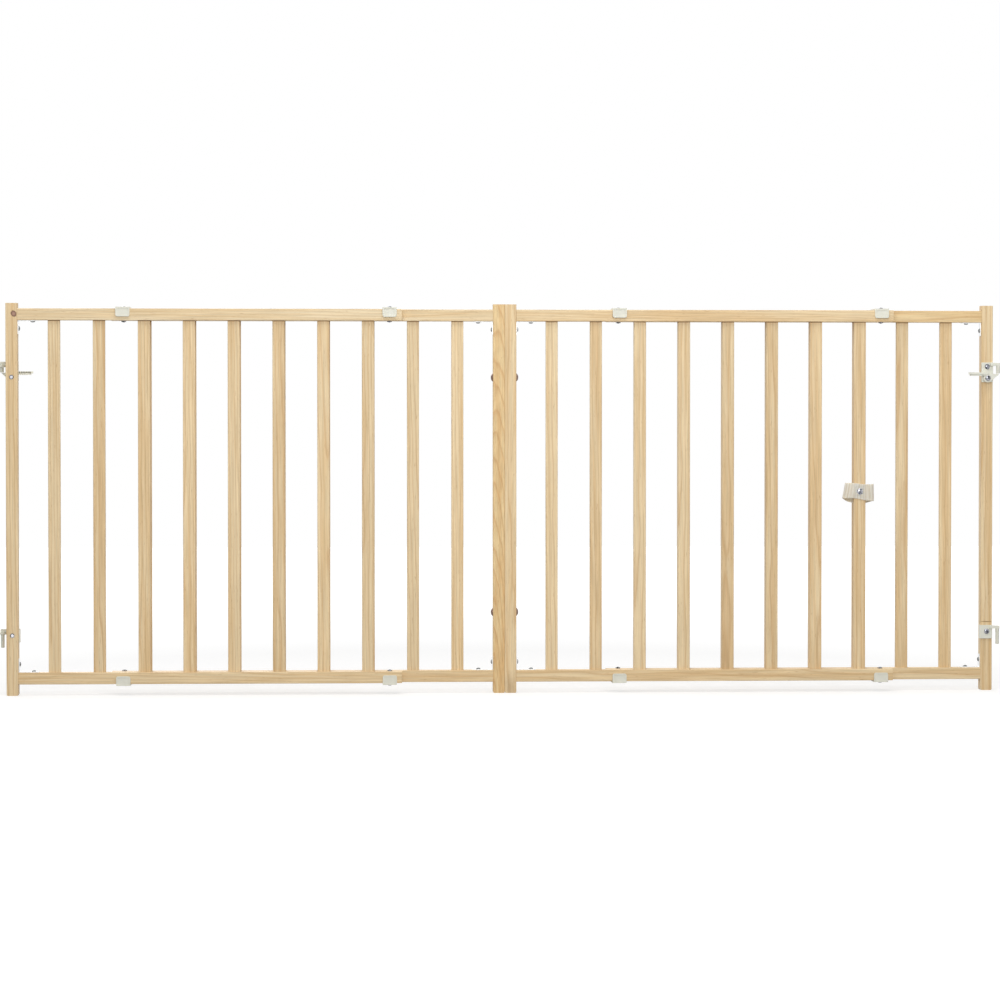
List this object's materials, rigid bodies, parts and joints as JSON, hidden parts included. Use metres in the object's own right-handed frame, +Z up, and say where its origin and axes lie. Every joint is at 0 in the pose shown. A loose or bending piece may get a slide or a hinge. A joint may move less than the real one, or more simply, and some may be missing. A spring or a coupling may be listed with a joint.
{
  "type": "baby gate",
  "caption": "Extra-wide slatted pine baby gate whose panels slide to set its width, with plastic clips, pin brackets, lock levers and wall eyes.",
  "frame": {"origin": "middle of the lower wall eye's mounting face, between its two screw holes, on the wall at the hinge side", "axes": "+X along the gate from the hinge wall towards the latch side, +Y from the gate's front to its back, +Z up"},
  "size_m": [1.798, 0.0704, 0.686],
  "materials": {
    "pine": "sanded and clear sealed, satin",
    "moulded_plastic": "moulded, off-white, semi-matte",
    "zinc_plate": "zinc plated",
    "bright_steel": "nickel plated",
    "bronzed_steel": "antique bronze plated, satin",
    "webbing": "woven webbing, natural white"
  },
  "bodies": {
    "wall_eyes": {"upper_wall_eye": "moulded_plastic", "lower_wall_eye": "moulded_plastic"},
    "outer_left_panel": {"outer_left_post": "pine", "outer_left_top_rail": "pine", "outer_left_bottom_rail": "pine", "outer_left_slats": "pine", "outer_left_top_clip": "moulded_plastic", "outer_left_bottom_clip": "moulded_plastic", "outer_left_clip_bolts": "bright_steel", "outer_left_clip_nuts": "bright_steel", "outer_left_top_brace": "zinc_plate", "outer_left_bottom_brace": "zinc_plate", "outer_left_brace_screws": "zinc_plate", "upper_hinge_bracket": "moulded_plastic", "lower_hinge_bracket": "moulded_plastic", "hinge_bolts": "bright_steel", "hinge_sleeve_nuts": "bright_steel", "hinge_wood_screw": "bright_steel"},
    "hinge_lock": {"hinge_lock_lever": "moulded_plastic"},
    "centre_panels": {"centre_left_post": "pine", "centre_left_top_rail": "pine", "centre_left_bottom_rail": "pine", "centre_left_slats": "pine", "centre_left_top_clip": "moulded_plastic", "centre_left_bottom_clip": "moulded_plastic", "centre_left_top_brace": "zinc_plate", "centre_left_bottom_brace": "zinc_plate", "centre_right_post": "pine", "centre_right_top_rail": "pine", "centre_right_bottom_rail": "pine", "centre_right_slats": "pine", "centre_right_top_clip": "moulded_plastic", "centre_right_bottom_clip": "moulded_plastic", "centre_right_top_brace": "zinc_plate", "centre_right_bottom_brace": "zinc_plate", "centre_clip_bolts": "bright_steel", "centre_clip_nuts": "bright_steel", "centre_brace_screws": "zinc_plate", "centre_bolts": "bronzed_steel", "centre_cap_nuts": "bronzed_steel", "strap": "webbing", "strap_screw": "bright_steel"},
    "outer_right_panel": {"outer_right_post": "pine", "outer_right_top_rail": "pine", "outer_right_bottom_rail": "pine", "outer_right_slats": "pine", "outer_right_top_clip": "moulded_plastic", "outer_right_bottom_clip": "moulded_plastic", "outer_right_clip_bolts": "bright_steel", "outer_right_clip_nuts": "bright_steel", "outer_right_top_brace": "zinc_plate", "outer_right_bottom_brace": "zinc_plate", "outer_right_brace_screws": "zinc_plate", "upper_latch_bracket": "moulded_plastic", "lower_latch_bracket": "moulded_plastic", "latch_bolts": "bright_steel", "latch_sleeve_nuts": "bright_steel", "latch_wood_screw": "bright_steel"},
    "latch_lock": {"latch_lever": "moulded_plastic"}
  },
  "joints": [
    {"name": "gate_swing", "type": "hinge", "parent": "wall_eyes", "child": "outer_left_panel", "pos_m": [0.032, 0, 0], "axis": [0, 0, 1], "range_deg": [-88, 88]},
    {"name": "left_slide", "type": "slide", "parent": "outer_left_panel", "child": "centre_panels", "axis": [1, 0, 0], "range_m": [-0.168, 0.435]},
    {"name": "right_slide", "type": "slide", "parent": "centre_panels", "child": "outer_right_panel", "axis": [1, 0, 0], "range_m": [-0.168, 0.435]},
    {"name": "hinge_lever_turn", "type": "hinge", "parent": "outer_left_panel", "child": "hinge_lock", "pos_m": [0.0511, -0.0035, 0.4488], "axis": [0, -1, 0], "range_deg": [0, 35]},
    {"name": "latch_lever_turn", "type": "hinge", "parent": "outer_right_panel", "child": "latch_lock", "pos_m": [1.77539, 0.0187, 0.4488], "axis": [0, 1, 0], "range_deg": [0, 35]}
  ]
}
